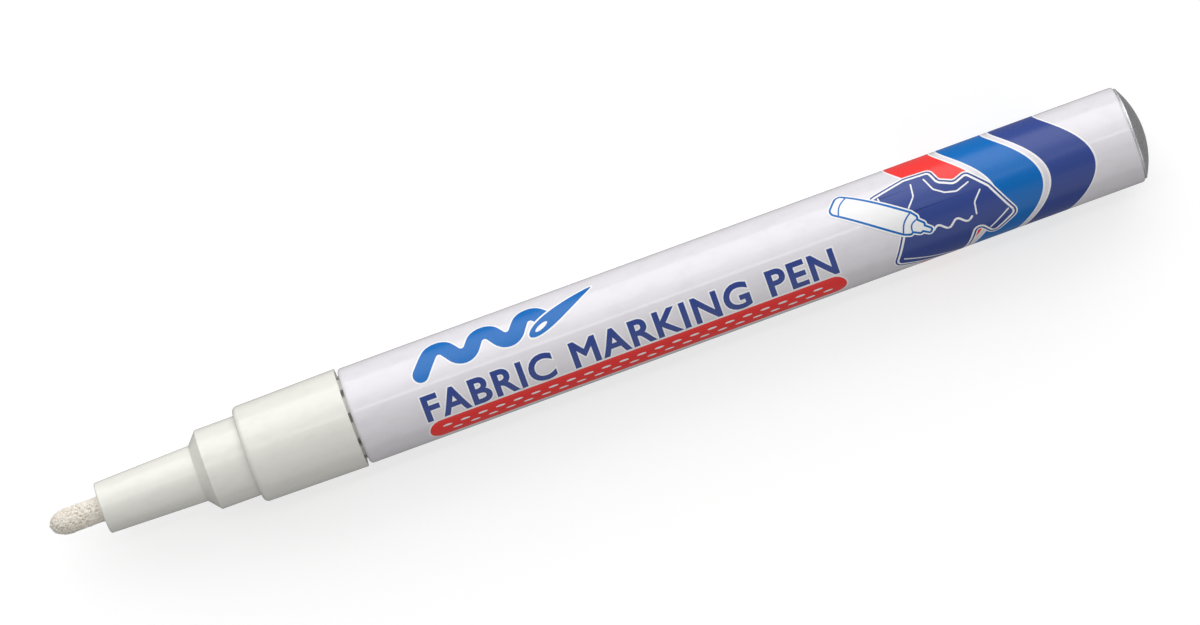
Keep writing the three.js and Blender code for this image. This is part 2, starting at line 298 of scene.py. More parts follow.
def surface(name, patterns, tint, gloss, relief, **constants):
    """A finish whose colour, gloss and relief follow cloudy patterns of real sizes.

    Each pattern is (cycles per mm along the pen, cycles per mm round it, detail). The tint is (pattern names,
    start, end, colour at the start, colour at the end), and the gloss has roughnesses in place of colours.
    The relief is (pattern names, depth, strength). Patterns that are named together are added.
    """
    made, tree, shader = material(name, **constants)
    place = node(tree, "ShaderNodeTexCoord").outputs["Object"]
    heights = {}
    for label, (along, around, detail) in patterns.items():
        scale = (along / MM, around / MM, around / MM)
        spread = node(tree, "ShaderNodeMapping", {"Vector": place}, {"Scale": scale})
        noise_node = node(tree, "ShaderNodeTexNoise", {"Vector": spread.outputs[0]}, {"Detail": detail})
        heights[label] = noise_node.outputs[0]

    def added(labels):
        total = heights[labels[0]]
        for label in labels[1:]:
            total = node(tree, "ShaderNodeMath", {0: total, 1: heights[label]}, operation="ADD").outputs[0]
        return total

    ramp = node(tree, "ShaderNodeValToRGB", {"Fac": added(tint[0])})
    for element, position, rgba in zip(ramp.color_ramp.elements, tint[1:3], tint[3:5]):
        element.position = position
        element.color = rgba
    tree.links.new(ramp.outputs["Color"], shader.inputs["Base Color"])
    limits = dict(zip(("From Min", "From Max", "To Min", "To Max"), gloss[1:]))
    rough = node(tree, "ShaderNodeMapRange", {"Value": added(gloss[0])}, limits)
    tree.links.new(rough.outputs[0], shader.inputs["Roughness"])
    amounts = {"Distance": relief[1], "Strength": relief[2]}
    bump = node(tree, "ShaderNodeBump", {"Height": added(relief[0])}, amounts)
    tree.links.new(bump.outputs["Normal"], shader.inputs["Normal"])
    return made


def white_lacquer():
    """Glossy white roller-coated lacquer on a drawn aluminium can: clean reflections that waver a little."""
    base = bpy.context.scene.pen_colours.lacquer
    # Cloudiness of the coat is about 6 mm across, the grain of its pigment about 0.2 mm, and the slow
    # orange peel of the roller about 2 mm from crest to crest.
    return surface(
        "roller_coated_white_lacquer",
        {"cloud": (0.1, 0.17, 2.0), "grain": (5.0, 5.0, 3.0), "peel": (0.35, 0.7, 1.0)},
        (("cloud", "grain"), 0.7, 1.3, shade(base, 0.965), shade(base, 1.03)),
        (("grain",), 0.3, 0.7, 0.03, 0.06),
        (("peel",), 0.006 * MM, 0.15),
        IOR=1.5,
    )


def bare_aluminium():
    """Drawn aluminium with no coat: grey, softly glossy, with faint rings and the grain of the sheet."""
    base = bpy.context.scene.pen_colours.aluminium
    made = surface(
        "drawn_bare_aluminium",
        {"grain": (1.6, 1.6, 6.0)},
        (("grain",), 0.36, 0.64, shade(base, 0.66), shade(base, 1.16)),
        (("grain",), 0.36, 0.64, 0.32, 0.52),
        (("grain",), 0.03 * MM, 0.6),
        Metallic=1.0,
    )
    # Faint wavering rings left by the drawing die, about 0.4 mm apart, centred on the pen's axis.
    tree = made.node_tree
    place = node(tree, "ShaderNodeTexCoord").outputs["Object"]
    centring = {"Location": (0, 0, -AXIS_HEIGHT / MM), "Scale": (0, 1 / MM, 1 / MM)}
    centred = node(tree, "ShaderNodeMapping", {"Vector": place}, centring)
    wave = {"Scale": 0.8, "Distortion": 5.0, "Detail": 3.0, "Detail Scale": 1.5}
    options = {"wave_type": "RINGS", "rings_direction": "X"}
    rings = node(tree, "ShaderNodeTexWave", {"Vector": centred.outputs[0]}, wave, **options)
    height = tree.nodes["Bump"].inputs["Height"]
    parts = {0: rings.outputs["Fac"], 2: height.links[0].from_socket}
    ring_share = 0.2
    both = node(tree, "ShaderNodeMath", parts, {1: ring_share}, operation="MULTIPLY_ADD")
    tree.links.new(both.outputs[0], height)
    return made


def moulded_polypropylene():
    """Satin injection-moulded polypropylene: soft highlights over a fine eroded mould texture."""
    base = bpy.context.scene.pen_colours.plastic
    # Clouding from the flow of the melt is about 4 mm across, and the eroded texture about 0.2 mm.
    return surface(
        "moulded_satin_polypropylene",
        {"flow": (0.12, 0.25, 2.0), "texture": (4.5, 4.5, 3.0)},
        (("flow", "texture"), 0.7, 1.3, shade(base, 0.97), shade(base, 1.02)),
        (("flow",), 0.3, 0.7, 0.08, 0.14),
        (("texture",), 0.004 * MM, 0.6),
        IOR=1.49,
        Subsurface_Weight=0.12,
        Subsurface_Radius=(1.0, 0.9, 0.8),
        Subsurface_Scale=0.6 * MM,
    )


def bonded_felt():
    """Bonded polyester felt: matt cream fibres that run lengthwise, painted tan shade in the gaps between them
    and shiny spots of resin.
    """
    colours = bpy.context.scene.pen_colours
    # Fibre bundles are about 0.15 mm wide and several times as long, and the gaps between them shorter.
    return surface(
        "bonded_polyester_felt",
        {"bundles": (1.2, 6.0, 4.0), "specks": (2.6, 4.2, 2.0)},
        # The colour darkens to the painted shade where the specks are low, which also lowers the relief there:
        # painted shade in the gaps between the fibres.
        (("specks",), 0.3, 0.41, colours.felt_painted_shade, colours.felt),
        (("specks",), 0.48, 0.56, 0.65, 0.1),
        (("bundles", "specks"), 0.055 * MM, 1.0),
        IOR=1.6,
        Sheen_Weight=0.1,
    )


def printed_ink(name, base):
    """Screen-printed ink on the lacquer: even colour with a fine sparkle painted into it as lighter and darker
    specks, and a soft gloss.
    """
    return surface(
        name,
        {"sparkle": (3.5, 3.5, 4.0)},
        # Painted sparkle: lighter and darker specks of colour stand in for glints. The gloss and relief vary
        # over the same specks.
        (("sparkle",), 0.3, 0.7, shade(base, 0.82), shade(base, 1.22)),
        (("sparkle",), 0.3, 0.7, 0.34, 0.21),
        (("sparkle",), 0.004 * MM, 0.5),
        IOR=1.42,
    )


# Finishes inside the pen: colour, grain per mm along and round with its detail, lowest and highest
# roughness, depth of the grain in mm, and the shader's constants.
INNER_FINISHES = {
    # Crimped polyester tow: dead matt, with long soft fibres.
    "polyester_tow": ("#EFECE2", (0.8, 8.0, 4.0), 0.8, 0.95, 0.05, {"Sheen_Weight": 0.3}),
    # Polypropylene with no pigment: milky, with a soft gloss.
    "natural_polypropylene": ("#ECECE6", (4.0, 4.0, 4.0), 0.3, 0.42, 0.004, {}),
    # Moulded acetal: cooler and glossier than polypropylene.
    "moulded_acetal": ("#DDE0E2", (5.0, 5.0, 4.0), 0.2, 0.3, 0.003, {}),
    # Moulded nitrile rubber: near black and dull.
    "nitrile_rubber": ("#1D1D1F", (6.0, 6.0, 4.0), 0.5, 0.65, 0.006, {}),
    # Polished stainless steel: mirror-like, with the finest scratches.
    "polished_stainless_ball": ("#C9CBCE", (3.0, 3.0, 4.0), 0.05, 0.14, 0.001, {"Metallic": 1.0}),
    # Drawn stainless wire: bright, with marks that run along it.
    "stainless_spring_wire": ("#B4B6B9", (3.0, 9.0, 4.0), 0.18, 0.32, 0.003, {"Metallic": 1.0}),
}


def inner_finish(name):
    """A finish for a part inside the pen: a tint and gloss that vary over a grain of a real size."""
    hex_value, grain, low_rough, high_rough, depth_mm, constants = INNER_FINISHES[name]
    base = linear(hex_value)
    return surface(
        name,
        {"grain": grain},
        (("grain",), 0.3, 0.7, shade(base, 0.88), shade(base, 1.08)),
        (("grain",), 0.3, 0.7, low_rough, high_rough),
        (("grain",), depth_mm * MM, 1.0),
        **constants,
    )


def floor_sheet():
    """Matt paper sheet, lit from behind so that it fades to an even white away from the pen."""
    studio = bpy.context.scene.pen_studio
    base = bpy.context.scene.pen_colours.floor
    made, tree, shader = material("pale_matt_paper", Roughness=0.9, Emission_Color=(1, 1, 1, 1))
    place = node(tree, "ShaderNodeTexCoord").outputs["Object"]
    away = node(tree, "ShaderNodeVectorMath", {0: place}, operation="LENGTH")
    reach = {"From Min": studio.glow_start, "From Max": studio.glow_end}
    fade = node(tree, "ShaderNodeMapRange", {"Value": away.outputs["Value"]}, reach)
    glow_range = {"To Min": studio.floor_glow, "To Max": studio.backdrop_glow}
    glow = node(tree, "ShaderNodeMapRange", {"Value": fade.outputs[0]}, glow_range)
    tree.links.new(glow.outputs[0], shader.inputs["Emission Strength"])
    # Sockets 6 and 7 of a colour mix are its two colours, and its third output is the mixed one. The sheet
    # is darker far away, because it gives more light of its own there.
    ends = {6: base, 7: shade(base, 0.15)}
    tint = node(tree, "ShaderNodeMix", {0: fade.outputs[0]}, ends, data_type="RGBA")
    tree.links.new(tint.outputs[2], shader.inputs["Base Color"])
    return made


def shared(name, make, *inputs):
    """A finish that several pieces share, made once."""
    return bpy.data.materials.get(name) or make(*inputs)


def inks():
    """The four printed inks, made once."""
    colours = bpy.context.scene.pen_colours
    found = {}
    for name in ("red", "blue", "navy", "white"):
        full = "screen_printed_" + name
        found[name] = shared(full, printed_ink, full, getattr(colours, name))
    return found


# ---- Outlines and meshes ------------------------------------------------------------------------------


def rounded(corners, steps=6, closed=True):
    """Rounds an outline's corners. Each corner is (x, y, size of its rounding)."""
    points = []
    last = len(corners) - 1
    for i, (x, y, size) in enumerate(corners):
        here = Vector((x, y))
        if size == 0 or (not closed and i in (0, last)):
            points.append(here)
            continue
        before = (Vector(corners[i - 1][:2]) - here).normalized()
        after = (Vector(corners[(i + 1) % len(corners)][:2]) - here).normalized()
        half = before.angle(after) / 2
        centre = here + (before + after).normalized() * (size / math.sin(half))
        start = here + before * (size / math.tan(half)) - centre
        turn = math.pi - 2 * half
        if before.cross(after) > 0:
            turn = -turn
        for k in range(steps + 1):
            angle = turn * k / steps
            c, s = math.cos(angle), math.sin(angle)
            points.append(centre + Vector((start.x * c - start.y * s, start.x * s + start.y * c)))
    return points


def held(points, closed=True, long=1.0 * MM, hold=0.1 * MM):
    """Adds a point close to each end of a long straight, so that smooth shading stays flat along it."""
    kept = []
    count_of_sides = len(points) if closed else len(points) - 1
    for i, here in enumerate(points):
        kept.append(here)
        if i >= count_of_sides:
            continue
        side = points[(i + 1) % len(points)] - here
        if side.length > long:
            kept.append(here + side.normalized() * hold)
            kept.append(here + side - side.normalized() * hold)
    return kept


def swept(name, outline, closed, segments, spot):
    """Sweeps an outline through a full turn. spot(point, angle) gives the place of a point of it."""
    build = bmesh.new()
    rings = []
    for i in range(segments):
        angle = math.tau * i / segments
        rings.append([build.verts.new(spot(point, angle)) for point in outline])
    for i, ring in enumerate(rings):
        after = rings[(i + 1) % segments]
        for k in range(len(outline) if closed else len(outline) - 1):
            n = (k + 1) % len(outline)
            build.faces.new((ring[k], ring[n], after[n], after[k]))
    bmesh.ops.remove_doubles(build, verts=build.verts, dist=1e-8)
    # A side that lies on the axis has no area and leaves a bare edge.
    bare = [edge for edge in build.edges if not edge.link_faces]
    bmesh.ops.delete(build, geom=bare, context="EDGES")
    bmesh.ops.recalc_face_normals(build, faces=build.faces)
    mesh = bpy.data.meshes.new(name)
    build.to_mesh(mesh)
    build.free()
    return mesh


def round_axis(x, radius, angle):
    """A point at a radius from the pen's axis, turned from straight up towards +Y by an angle."""
    return (x, radius * math.sin(angle), AXIS_HEIGHT + radius * math.cos(angle))


def turned(name, outline, segments=160):
    """Turns an outline of (x, radius) points round the pen's axis. It is closed, or starts and ends on it."""
    closed = outline[0].y > 0
    return swept(name, held(outline, closed), closed, segments, lambda p, angle: round_axis(p.x, p.y, angle))


def distance_from_axis(point):
    """How far a point is from the pen's axis."""
    return math.hypot(point.y, point.z - AXIS_HEIGHT)


def place_piece(name, mesh, finishes, body, node_names=(), slot=None, sharp=34):
    """Makes the finished object: shaded smooth over shallow edges, riding on its body."""
    if not mesh.materials:
        for finish in finishes:
            mesh.materials.append(finish)
    mesh.shade_smooth()
    mesh.set_sharp_from_angle(angle=math.radians(sharp))
    piece = bpy.data.objects.new(name, mesh)
    bpy.context.scene.collection.objects.link(piece)
    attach(piece, body)
    if node_names:
        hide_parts(*node_names)
    return piece


# ---- Geometry nodes -----------------------------------------------------------------------------------

SOCKETS = {float: "NodeSocketFloat", int: "NodeSocketInt", "material": "NodeSocketMaterial"}


def node_tree(name, inputs):
    """A geometry node tree with named inputs. Returns it with its group input node's sockets."""
    tree = bpy.data.node_groups.new(name, "GeometryNodeTree")
    tree.interface.new_socket("Geometry", in_out="INPUT", socket_type="NodeSocketGeometry")
    for label, value in inputs.items():
        kind = "material" if isinstance(value, bpy.types.Material) else type(value)
        tree.interface.new_socket(label, in_out="INPUT", socket_type=SOCKETS[kind])
    tree.interface.new_socket("Geometry", in_out="OUTPUT", socket_type="NodeSocketGeometry")
    return tree, tree.nodes.new("NodeGroupInput").outputs


def end_tree(tree, geometry, finish):
    """Ends a tree in Realize Instances and Set Material."""
    real = node(tree, "GeometryNodeRealizeInstances", {"Geometry": geometry})
    done = node(tree, "GeometryNodeSetMaterial", {"Geometry": real.outputs[0], "Material": finish})
    node(tree, "NodeGroupOutput", {0: done.outputs[0]})


def plain_mesh(data, tree=None, inputs=None):
    """The plain mesh of a curve or a text, or the one that a tree makes of a mesh with these inputs."""
    holder = bpy.data.objects.new("holder", data)
    bpy.context.scene.collection.objects.link(holder)
    if tree:
        modifier = holder.modifiers.new("shape", "NODES")
        modifier.node_group = tree
        for item in tree.interface.items_tree:
            if item.in_out == "INPUT" and item.name in inputs:
                modifier[item.identifier] = inputs[item.name]
    graph = bpy.context.evaluated_depsgraph_get()
    mesh = bpy.data.meshes.new_from_object(holder.evaluated_get(graph))
    bpy.data.objects.remove(holder)
    if not mesh.polygons:
        raise RuntimeError(data.name + " made no faces")
    return mesh


def run_tree(make_tree, inputs, start=None):
    """Makes a tree for these inputs, runs it on a start mesh and returns the plain mesh."""
    return plain_mesh(start or bpy.data.meshes.new("empty"), make_tree(inputs), inputs)


def bent_round(tree, geometry, radius):
    """Nodes that bend flat geometry round the pen's axis: y becomes distance round, and z height above it."""
    place = node(tree, "GeometryNodeInputPosition")
    parts = node(tree, "ShaderNodeSeparateXYZ", {0: place.outputs[0]})
    angle = node(tree, "ShaderNodeMath", {0: parts.outputs["Y"], 1: radius}, operation="DIVIDE")
    reach = node(tree, "ShaderNodeMath", {0: parts.outputs["Z"], 1: radius}, operation="ADD")
    sine = node(tree, "ShaderNodeMath", {0: angle.outputs[0]}, operation="SINE")
    cosine = node(tree, "ShaderNodeMath", {0: angle.outputs[0]}, operation="COSINE")
    across = node(tree, "ShaderNodeMath", {0: sine.outputs[0], 1: reach.outputs[0]}, operation="MULTIPLY")
    up = node(tree, "ShaderNodeMath", {0: cosine.outputs[0], 1: reach.outputs[0]}, operation="MULTIPLY")
    places = {"X": parts.outputs["X"], "Y": across.outputs[0], "Z": up.outputs[0]}
    bent = node(tree, "ShaderNodeCombineXYZ", places)
    moves = {"Geometry": geometry, "Position": bent.outputs[0]}
    return node(tree, "GeometryNodeSetPosition", moves).outputs[0]


def neck_lands_tree(inputs):
    """Lands between the relief slots, evenly spaced round the neck."""
    tree, given = node_tree("neck_lands", inputs)
    sides = {"X": given["Length"], "Y": given["Land width"], "Z": given["Height"]}
    size = node(tree, "ShaderNodeCombineXYZ", sides)
    cuts = {"Vertices X": 2, "Vertices Y": 9, "Vertices Z": 2}
    block = node(tree, "GeometryNodeMeshCube", {"Size": size.outputs[0]}, cuts)
    land = bent_round(tree, block.outputs["Mesh"], given["Radius"])
    spots = node(tree, "GeometryNodeMeshLine", {"Count": given["Count"]}, {"Offset": (0, 0, 0)})
    index = node(tree, "GeometryNodeInputIndex")
    turn = node(tree, "ShaderNodeMath", {1: given["Count"]}, {0: math.tau}, operation="DIVIDE")
    part = node(tree, "ShaderNodeMath", {0: index.outputs[0]}, {1: 0.5}, operation="ADD")
    angle = node(tree, "ShaderNodeMath", {0: part.outputs[0], 1: turn.outputs[0]}, operation="MULTIPLY")
    euler = node(tree, "ShaderNodeCombineXYZ", {"X": angle.outputs[0]})
    rotation = node(tree, "FunctionNodeEulerToRotation", {0: euler.outputs[0]})
    copies = {"Points": spots.outputs[0], "Instance": land, "Rotation": rotation.outputs[0]}
    ring = node(tree, "GeometryNodeInstanceOnPoints", copies)
    spot = node(tree, "ShaderNodeCombineXYZ", {"X": given["Station"], "Z": given["Axis height"]})
    shift = {"Geometry": ring.outputs[0], "Translation": spot.outputs[0]}
    moved = node(tree, "GeometryNodeTransform", shift)
    end_tree(tree, moved.outputs[0], given["Finish"])
    return tree


def stitches_tree(inputs):
    """A row of printed running stitches along the barrel."""
    tree, given = node_tree("running_stitches", inputs)
    half = node(tree, "ShaderNodeMath", {0: given["Stitch length"]}, {1: 0.5}, operation="MULTIPLY")
    side = node(tree, "ShaderNodeMath", {0: given["Stitch width"]}, {1: 0.5}, operation="MULTIPLY")
    sides = {"X": half.outputs[0], "Y": side.outputs[0], "Z": given["Height"]}
    shape = node(tree, "ShaderNodeCombineXYZ", sides)
    drop = node(tree, "GeometryNodeMeshUVSphere", values={"Segments": 16, "Rings": 6, "Radius": 1.0})
    scaled = {"Geometry": drop.outputs["Mesh"], "Scale": shape.outputs[0]}
    stitch = node(tree, "GeometryNodeTransform", scaled)
    step = node(tree, "ShaderNodeCombineXYZ", {"X": given["Pitch"]})
    start = node(tree, "ShaderNodeCombineXYZ", {"X": given["Start"], "Y": given["Place round"]})
    spacing = {"Count": given["Count"], "Start Location": start.outputs[0], "Offset": step.outputs[0]}
    line = node(tree, "GeometryNodeMeshLine", spacing)
    copies = {"Points": line.outputs[0], "Instance": stitch.outputs[0]}
    row = node(tree, "GeometryNodeInstanceOnPoints", copies)
    flat = node(tree, "GeometryNodeRealizeInstances", {"Geometry": row.outputs[0]})
    bent = bent_round(tree, flat.outputs[0], given["Radius"])
    lift = node(tree, "ShaderNodeCombineXYZ", {"Z": given["Axis height"]})
    moved = node(tree, "GeometryNodeTransform", {"Geometry": bent, "Translation": lift.outputs[0]})
    end_tree(tree, moved.outputs[0], given["Finish"])
    return tree


def fibres_tree(inputs):
    """Loose fibre ends, lying nearly along the nib, over the surface that the tree is given."""
    tree, given = node_tree("nib_fibres", inputs)
    seed = {"Seed": given["Seed"]}
    scatter = {"Mesh": given["Geometry"], "Density": given["Density"], "Seed": given["Seed"]}
    area = node(tree, "GeometryNodeDistributePointsOnFaces", scatter)
    # A fibre points along the pen, strays to the sides and lifts a little off the surface.
    directions = {0: (0.55, -0.45, -0.45), 1: (1.0, 0.45, 0.45)}
    stray = node(tree, "FunctionNodeRandomValue", seed, directions, data_type="FLOAT_VECTOR")
    away = {0: area.outputs["Normal"]}
    lift = node(tree, "ShaderNodeVectorMath", away, {"Scale": 0.16}, operation="SCALE")
    sum_of = {0: stray.outputs[0], 1: lift.outputs[0]}
    along = node(tree, "ShaderNodeVectorMath", sum_of, operation="ADD")
    lying = node(tree, "FunctionNodeAlignRotationToVector", {"Vector": along.outputs[0]}, axis="Z")
    sizes = {"Radius": given["Fibre radius"], "Depth": given["Fibre length"]}
    fibre = node(tree, "GeometryNodeMeshCylinder", sizes, {"Vertices": 5, "Side Segments": 1})
    # Sockets 2 and 3 of a random value are the limits of a plain number, and its second output is that one.
    scale = node(tree, "FunctionNodeRandomValue", seed, {2: 0.4, 3: 1.0}, data_type="FLOAT")
    copies = {
        "Points": area.outputs["Points"],
        "Instance": fibre.outputs["Mesh"],
        "Rotation": lying.outputs[0],
        "Scale": scale.outputs[1],
    }
    hair = node(tree, "GeometryNodeInstanceOnPoints", copies)
    end_tree(tree, hair.outputs[0], given["Finish"])
    return tree


def wire_tree(inputs):
    """Round wire along the path that the tree is given, with closed ends."""
    tree, given = node_tree("coiled_wire", inputs)
    path = node(tree, "GeometryNodeMeshToCurve", {"Mesh": given["Geometry"]})
    size = {"Radius": given["Wire radius"]}
    section = node(tree, "GeometryNodeCurvePrimitiveCircle", size, {"Resolution": 10})
    curves = {"Curve": path.outputs[0], "Profile Curve": section.outputs[0]}
    wire = node(tree, "GeometryNodeCurveToMesh", curves, {"Fill Caps": True})
    end_tree(tree, wire.outputs[0], given["Finish"])
    return tree


# ---- Printing on the barrel ---------------------------------------------------------------------------


def stroke(path, width, end_steps=8):
    """The outline of a line of constant width with round ends."""
    left, right = [], []
    for i, here in enumerate(path):
        along = path[min(i + 1, len(path) - 1)] - path[max(i - 1, 0)]
        side = Vector((-along.y, along.x)).normalized() * (width / 2)
        left.append(here + side)
        right.append(here - side)

    def cap(end, start_side):
        first = math.atan2(start_side.y, start_side.x)
        turns = [first - math.pi * k / end_steps for k in range(1, end_steps)]
        return [end + Vector((math.cos(turn), math.sin(turn))) * (width / 2) for turn in turns]

    return left + cap(path[-1], left[-1] - path[-1]) + right[::-1] + cap(path[0], right[0] - path[0])


def grown(loop, by):
    """A closed loop moved outwards by a distance, with mitred corners. The loop runs anticlockwise."""
    # The least cosine lets a mitre reach far into a notch and keeps it short on a sharp outer corner.
    least_in_notch, least_outside = 0.1, 0.5
    moved = []
    for i, here in enumerate(loop):
        before = (here - loop[i - 1]).normalized()
        after = (loop[(i + 1) % len(loop)] - here).normalized()
        along = (before + after) / 2
        least = least_in_notch if before.cross(after) < 0 else least_outside
        reach = by / max(along.length, least)
        along = along.normalized()
        moved.append(here + Vector((along.y, -along.x)) * reach)
    return moved


def anticlockwise(loop):
    """The same loop, turned round if it runs clockwise."""
    twice_area = sum(loop[i - 1].cross(loop[i]) for i in range(len(loop)))
    return loop if twice_area > 0 else loop[::-1]


def flat_curve(name, loops):
    """A filled flat curve from closed loops of points. A loop inside another one is a hole."""
    data = bpy.data.curves.new(name, "CURVE")
    data.dimensions = "2D"
    data.fill_mode = "BOTH"
    for loop in loops:
        spline = data.splines.new("POLY")
        spline.points.add(len(loop) - 1)
        for point, place in zip(spline.points, loop):
            point.co = (place.x, place.y, 0, 1)
        spline.use_cyclic_u = True
    return data


def printed(name, mesh, finish, layer):
    """Bends a flat plate round the barrel as one printed layer. Its y becomes distance round from the top."""
    same_place = 1e-9
    build = bmesh.new()
    build.from_mesh(mesh)
    bmesh.ops.remove_doubles(build, verts=build.verts, dist=same_place)
    low = min(v.co.y for v in build.verts)
    high = max(v.co.y for v in build.verts)
    # Cut along the pen every three degrees, so that the plate follows the curve of the barrel.
    step = BARREL_RADIUS * math.radians(3)
    for k in range(math.ceil(low / step), math.floor(high / step) + 1):
        everything = build.verts[:] + build.edges[:] + build.faces[:]
        bmesh.ops.bisect_plane(build, geom=everything, plane_co=(0, k * step, 0), plane_no=(0, 1, 0))
    bmesh.ops.triangulate(build, faces=build.faces)
    top = max(v.co.z for v in build.verts)
    for v in build.verts:
        reach = BARREL_RADIUS + (layer * LAYER if v.co.z > top - same_place else -BURIED)
        v.co = round_axis(v.co.x, reach, v.co.y / BARREL_RADIUS)
    bmesh.ops.recalc_face_normals(build, faces=build.faces)
    plate = bpy.data.meshes.new(name)
    build.to_mesh(plate)
    build.free()
    bpy.data.meshes.remove(mesh)
    return place_piece(name, plate, [finish], "pen_body", slot="lacquered_aluminium")


def print_loops(name, loops, finish, layer):
    """Prints a shape that is given as closed loops."""
    data = flat_curve(name, loops)
    # Only the two faces of the plate count here: printed() sets how thick it is.
    data.extrude = 0.05 * MM
    return printed(name, plain_mesh(data), finish, layer)


def drawing_board(origin, tilt):
    """A function that turns and moves a drawing in mm to its place on the unrolled barrel."""
    c, s = math.cos(tilt), math.sin(tilt)
    return lambda x, y: origin + Vector((x * c - y * s, x * s + y * c)) * MM


def print_outlined(name, loops, layers, first_layer):
    """Prints a shape as a stack of plates, each a (label, finish, growth) and each on top of the last."""
    for i, (label, finish, growth) in enumerate(layers):
        print_loops(name + "_" + label, [grown(loop, growth) for loop in loops], finish, first_layer + i)


# ---- Operators ----------------------------------------------------------------------------------------


class PEN_OT_barrel(bpy.types.Operator):
    """Make the lacquered barrel with its rolled mouth, bare rim and domed base"""

    bl_idname = "pen.barrel"
    bl_label = "Barrel"

    def execute(self, context):
        sizes = context.scene.pen_body
        outer = BARREL_RADIUS
        inner = outer - sizes.wall
        side_end = BASE_APEX - sizes.dome_rise - sizes.rim_setback
        dome_start = BASE_APEX - sizes.dome_rise
        dome_radius = (sizes.dome_edge**2 + sizes.dome_rise**2) / (2 * sizes.dome_rise)
        centre = BASE_APEX - dome_radius
        edge = math.asin(sizes.dome_edge / dome_radius)

        def dome(radius, start, steps=24):
            turns = [start * (1 - k / steps) for k in range(steps + 1)]
            return [Vector((centre + radius * math.cos(t), radius * math.sin(t))) for t in turns]

        mouth = sizes.neck_radius + FIT_GAP
        lacquer_end = side_end + 0.04 * MM
        groove_end = side_end + 0.1 * MM
        groove_floor = outer - 0.42 * MM
        bead_front = outer - 0.25 * MM
        bead_rear = outer - 0.3 * MM
        sliver = 0.02 * MM
        side = rounded(
            [
                (BARREL_MOUTH + sizes.wall, mouth, BROKEN_EDGE),
                (BARREL_MOUTH, mouth, BROKEN_EDGE),
                (BARREL_MOUTH, outer, sizes.mouth_rounding),
                (side_end, outer, sizes.lacquer_edge),
                (lacquer_end, groove_floor, 0),
                (groove_end, groove_floor, 0),
                (groove_end + sliver, bead_front, BROKEN_EDGE),
                (dome_start - sliver, bead_rear, 0.06 * MM),
                (dome_start - sliver, sizes.dome_edge + sliver, 0.03 * MM),
                (dome_start, sizes.dome_edge, 0),
            ],
            closed=False,
        )
        dome_wall = 0.5 * MM
        inner_start = math.asin((inner - dome_wall) / (dome_radius - dome_wall))
        bore_front, bore_rear = BARREL_MOUTH + 0.6 * MM, side_end - 0.4 * MM
        outline = side + dome(dome_radius, edge)[1:-1]
        outline += [Vector((BASE_APEX, 0)), Vector((BASE_APEX - dome_wall, 0))]
        outline += dome(dome_radius - dome_wall, inner_start)[::-1][1:]
        outline += [Vector((bore_rear, inner)), Vector((bore_front, inner))]
        outside = turned("barrel_side", outline, 192)
        lacquer = shared("roller_coated_white_lacquer", white_lacquer)
        metal = shared("drawn_bare_aluminium", bare_aluminium)
        # The base behind the groove is bare, and so is the inside. The rest has its lacquer.
        for face in outside.polygons:
            reach = distance_from_axis(face.center)
            base_side = face.center.x > lacquer_end and reach < bead_front - sliver
            face.material_index = 1 if base_side or reach < mouth + sliver else 0
        place_piece("barrel_can", outside, [lacquer, metal], "pen_body", ["barrel"], "lacquered_aluminium")
        return {"FINISHED"}


class PEN_OT_collar(bpy.types.Operator):
    """Make the wide collar, its neck with relief slots and the plug that closes the barrel"""

    bl_idname = "pen.collar"
    bl_label = "Collar"

    def execute(self, context):
        sizes = context.scene.pen_body
        nose = context.scene.pen_nose
        collar_end = COLLAR_FRONT + sizes.collar_length
        floor_radius = sizes.neck_radius - sizes.slot_depth
        bore = nose.spigot_radius + nose.nib_clearance
        plug = BARREL_RADIUS - sizes.wall - FIT_GAP
        plug_front = BARREL_MOUTH + sizes.wall + 0.55 * MM
        neck_front = collar_end - 0.12 * MM
        neck_top = sizes.neck_radius + 0.15 * MM
        recess = nose.step_radius + 2 * nose.nib_clearance
        recess_floor = COLLAR_FRONT + 0.85 * MM
        lip_front = PLUG_END - 0.95 * MM
        lip = bore - 0.6 * MM
        outline = rounded(
            [
                (COLLAR_FRONT, recess, 0.04 * MM),
                (COLLAR_FRONT, sizes.collar_front_radius, sizes.collar_rounding),
                (collar_end, COLLAR_RADIUS, 0.04 * MM),
                (neck_front, neck_top, BROKEN_EDGE),
                (neck_front, floor_radius, BROKEN_EDGE),
                (plug_front, floor_radius, BROKEN_EDGE),
                (plug_front, plug, BROKEN_EDGE),
                (PLUG_END, plug - 0.3 * MM, 0.2 * MM),
                (PLUG_END, lip, 0.1 * MM),
                (lip_front, lip, BROKEN_EDGE),
                (lip_front, bore, BROKEN_EDGE),
                (recess_floor, bore, BROKEN_EDGE),
                (recess_floor, recess, BROKEN_EDGE),
            ],
            steps=8,
        )
        plastic = shared("moulded_satin_polypropylene", moulded_polypropylene)
        mesh = turned("collar", outline)
        place_piece("collar_moulding", mesh, [plastic], "pen_body", ["shoulder_collar"], "nose_plastic")
        middle_radius = sizes.neck_radius - sizes.slot_depth / 2
        land = math.tau / sizes.slots - sizes.slot_angle
        land_front = neck_front - 0.02 * MM
        inputs = {
            "Count": sizes.slots,
            "Length": plug_front - land_front,
            "Land width": land * middle_radius,
            "Height": sizes.slot_depth,
            "Radius": middle_radius,
            "Station": (plug_front + land_front) / 2,
            "Axis height": AXIS_HEIGHT,
            "Finish": plastic,
        }
        lands = run_tree(neck_lands_tree, inputs)
        place_piece("neck_lands", lands, [plastic], "pen_body", slot="nose_plastic", sharp=20)
        return {"FINISHED"}


